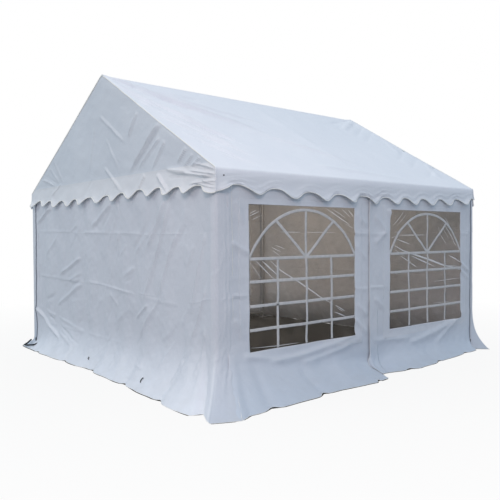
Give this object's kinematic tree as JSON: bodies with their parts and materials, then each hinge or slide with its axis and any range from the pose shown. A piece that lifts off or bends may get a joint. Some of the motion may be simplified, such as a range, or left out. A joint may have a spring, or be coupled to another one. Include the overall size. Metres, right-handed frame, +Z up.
{
  "type": "marquee tent",
  "caption": "Party marquee tent with a pitched roof, wavy valances, plain end walls, side walls with arched window panes and a steel tube frame.",
  "frame": {"origin": "on the ground at the middle of the plan", "axes": "+Z up, +Y along the ridge towards the back gable, +X out through the right window wall"},
  "size_m": [4.5528, 4.4932, 3.0766],
  "materials": {
    "frame_steel": "galvanised, dull",
    "roof_cloth": "coated white tarpaulin, satin",
    "gable_cloth": "coated white tarpaulin, satin",
    "wall_cloth": "coated white tarpaulin, satin",
    "window_film": "clear flexible film, glossy"
  },
  "bodies": {
    "root": {"eave_connector_back_left": "frame_steel", "eave_connector_back_right": "frame_steel", "eave_connector_front_left": "frame_steel", "eave_connector_front_right": "frame_steel", "eave_connector_mid_left": "frame_steel", "eave_connector_mid_right": "frame_steel", "eave_rail_back_left": "frame_steel", "eave_rail_back_right": "frame_steel", "eave_rail_front_left": "frame_steel", "eave_rail_front_right": "frame_steel", "gable_back": "gable_cloth", "gable_front": "gable_cloth", "ground_bar_back_left": "frame_steel", "ground_bar_back_right": "frame_steel", "ground_bar_front_left": "frame_steel", "ground_bar_front_right": "frame_steel", "post_back_left": "frame_steel", "post_back_right": "frame_steel", "post_front_left": "frame_steel", "post_front_right": "frame_steel", "post_mid_left": "frame_steel", "post_mid_right": "frame_steel", "rafter_back_left": "frame_steel", "rafter_back_right": "frame_steel", "rafter_front_left": "frame_steel", "rafter_front_right": "frame_steel", "rafter_mid_left": "frame_steel", "rafter_mid_right": "frame_steel", "ridge_connector_back": "frame_steel", "ridge_connector_front": "frame_steel", "ridge_connector_mid": "frame_steel", "ridge_tube_back": "frame_steel", "ridge_tube_front": "frame_steel", "roof_cover": "roof_cloth", "tie_bar_back": "frame_steel", "tie_bar_front": "frame_steel", "wall_back": "wall_cloth", "wall_back_left": "wall_cloth", "wall_back_right": "wall_cloth", "wall_front": "wall_cloth", "wall_front_left": "wall_cloth", "wall_front_right": "wall_cloth", "window_back_left": "window_film", "window_back_right": "window_film", "window_front_left": "window_film", "window_front_right": "window_film"}
  },
  "joints": []
}
